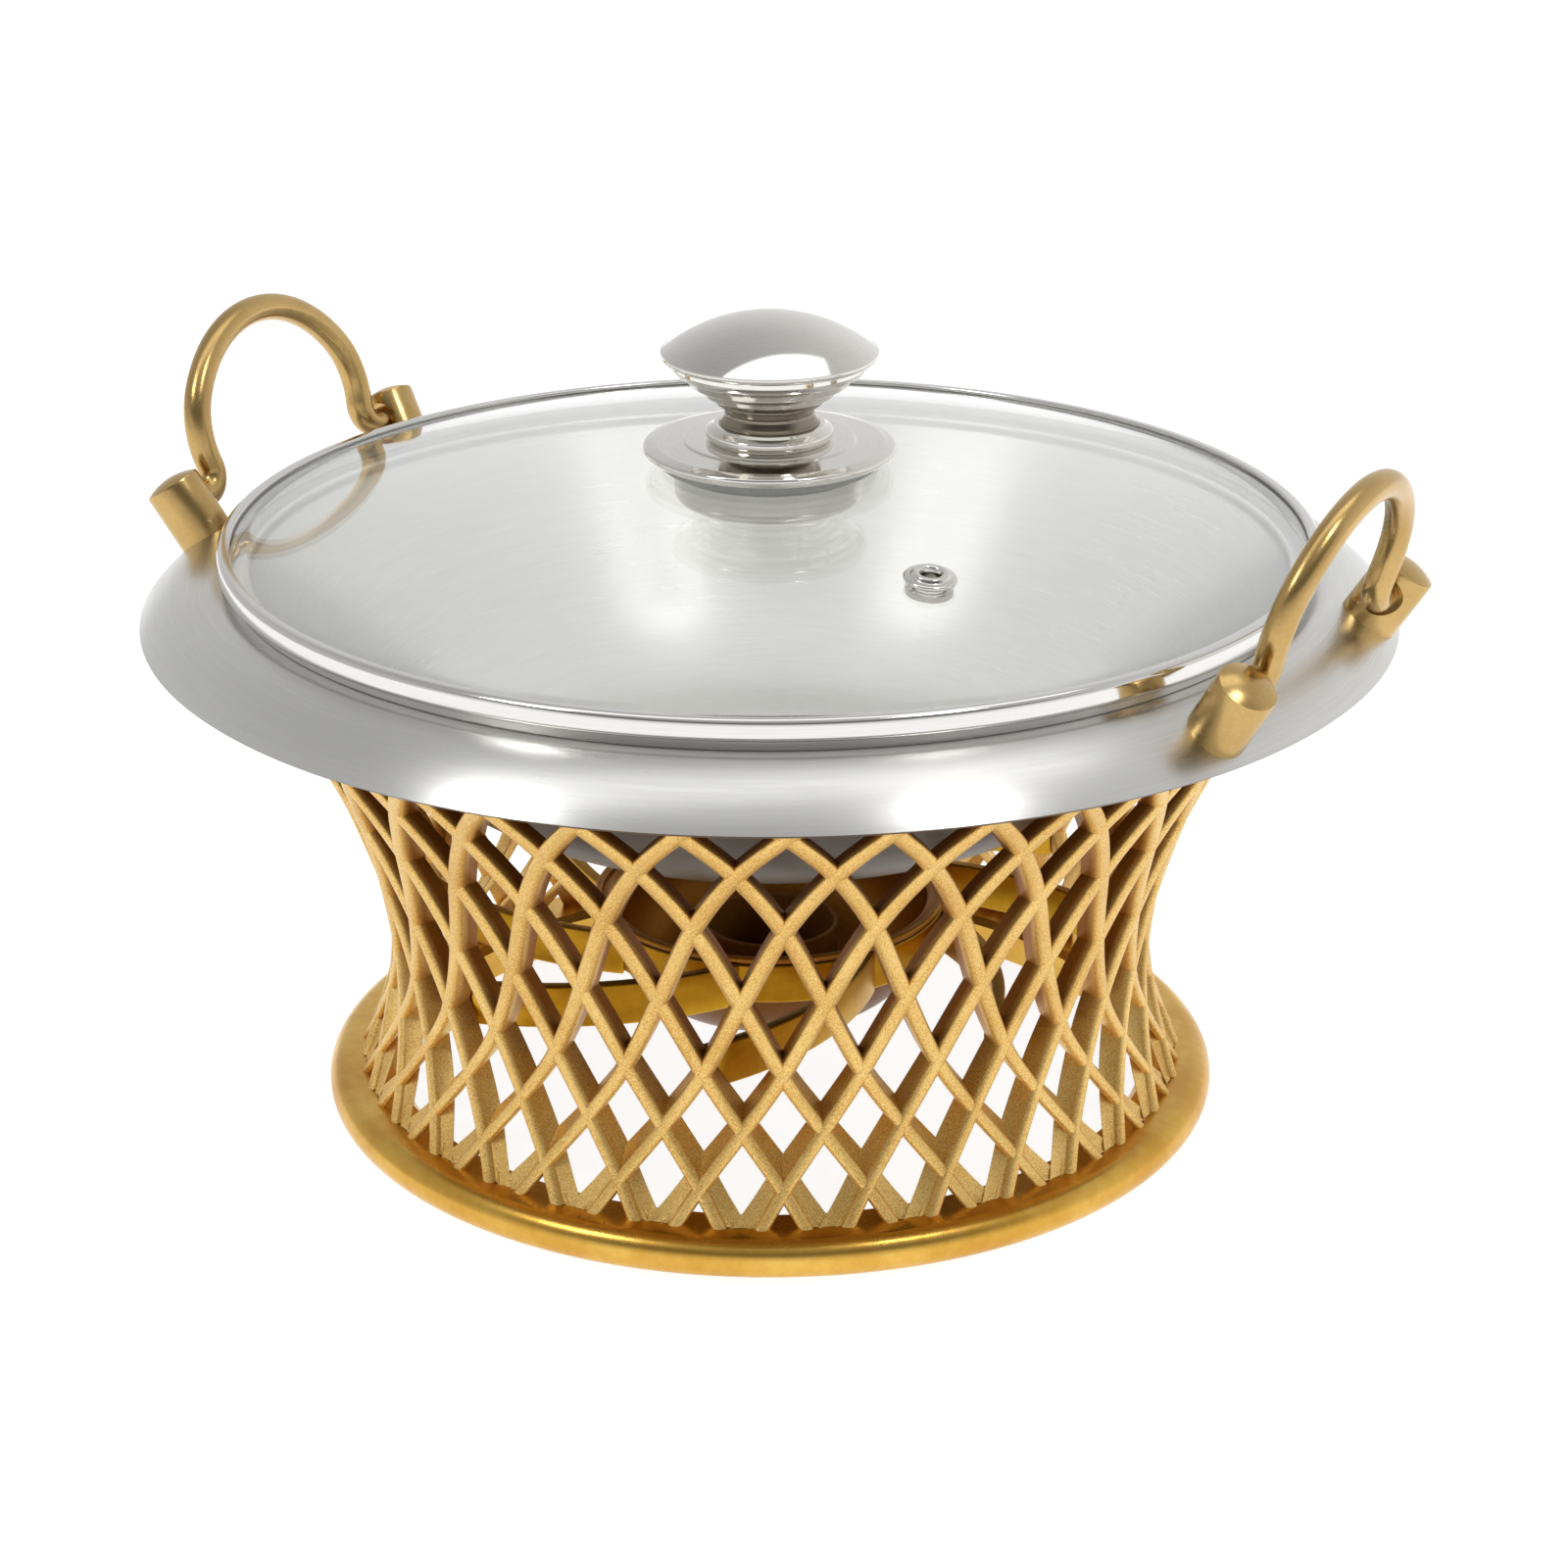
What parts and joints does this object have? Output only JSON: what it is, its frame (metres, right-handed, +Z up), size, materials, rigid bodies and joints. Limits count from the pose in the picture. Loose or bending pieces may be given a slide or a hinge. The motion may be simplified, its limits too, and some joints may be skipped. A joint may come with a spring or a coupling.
{
  "type": "chafing pan",
  "caption": "Round table-top chafing pan with swing handles and a domed glass lid, on a lattice burner stand with a lift-out burner bowl.",
  "frame": {"origin": "centre of the foot ring's underside, on the surface that the stand stands on", "axes": "+Z up along the pan's axis; +X through the middle of the right handle; +Y completes the frame"},
  "size_m": [0.355, 0.343, 0.225],
  "materials": {
    "lattice_gold": "gold paint on a grained casting",
    "stand_gold": "satin gold",
    "cradle_gold": "satin gold",
    "burner_gold": "satin",
    "pan_steel": "circular brushed",
    "handle_brass": "satin",
    "lid_steel": "polished",
    "lid_glass": "clear",
    "knob_steel": "polished",
    "seal_rubber": "matt",
    "fastener_steel": "plain"
  },
  "bodies": {
    "stand": {"foot_ring": "stand_gold", "lattice": "lattice_gold", "seat_ring": "stand_gold", "cradle_ring": "cradle_gold", "cradle_arm_1": "cradle_gold", "cradle_arm_2": "cradle_gold", "cradle_arm_3": "cradle_gold", "cradle_arm_4": "cradle_gold", "cradle_arm_5": "cradle_gold", "cradle_arm_6": "cradle_gold", "cradle_arm_7": "cradle_gold", "cradle_arm_8": "cradle_gold"},
    "burner": {"burner_bowl": "burner_gold"},
    "cup": {"fuel_cup": "burner_gold"},
    "pan": {"pan_body": "pan_steel", "post_right_front": "handle_brass", "post_right_rear": "handle_brass", "post_left_front": "handle_brass", "post_left_rear": "handle_brass", "post_washers": "fastener_steel", "post_screws": "fastener_steel"},
    "handle_right": {"handle_right": "handle_brass"},
    "handle_left": {"handle_left": "handle_brass"},
    "lid": {"lid_band": "lid_steel", "lid_glass": "lid_glass", "vent_eyelet": "knob_steel", "vent_ring": "knob_steel", "plate_gasket": "seal_rubber", "knob_plate": "knob_steel", "knob_collar": "knob_steel", "knob_stem": "knob_steel", "knob_underplate": "knob_steel", "knob_cap": "knob_steel", "inner_gasket": "seal_rubber", "inner_cup": "lid_steel", "knob_screw": "fastener_steel"}
  },
  "joints": [
    {"name": "pan_lift", "type": "slide", "parent": "stand", "child": "pan", "axis": [0, 0, 1], "range_m": [0, 0.1]},
    {"name": "lid_lift", "type": "slide", "parent": "pan", "child": "lid", "axis": [0, 0, 1], "range_m": [0, 0.12]},
    {"name": "burner_lift", "type": "slide", "parent": "stand", "child": "burner", "axis": [0, 0, 1], "range_m": [0, 0.03]},
    {"name": "cup_lift", "type": "slide", "parent": "burner", "child": "cup", "axis": [0, 0, 1], "range_m": [0, 0.03]},
    {"name": "handle_right_swing", "type": "hinge", "parent": "pan", "child": "handle_right", "pos_m": [0.16136, 0, 0.16021], "axis": [0, 1, 0], "range_deg": [-66, 100]},
    {"name": "handle_left_swing", "type": "hinge", "parent": "pan", "child": "handle_left", "pos_m": [-0.16136, 0, 0.16021], "axis": [0, -1, 0], "range_deg": [-66, 100]}
  ]
}
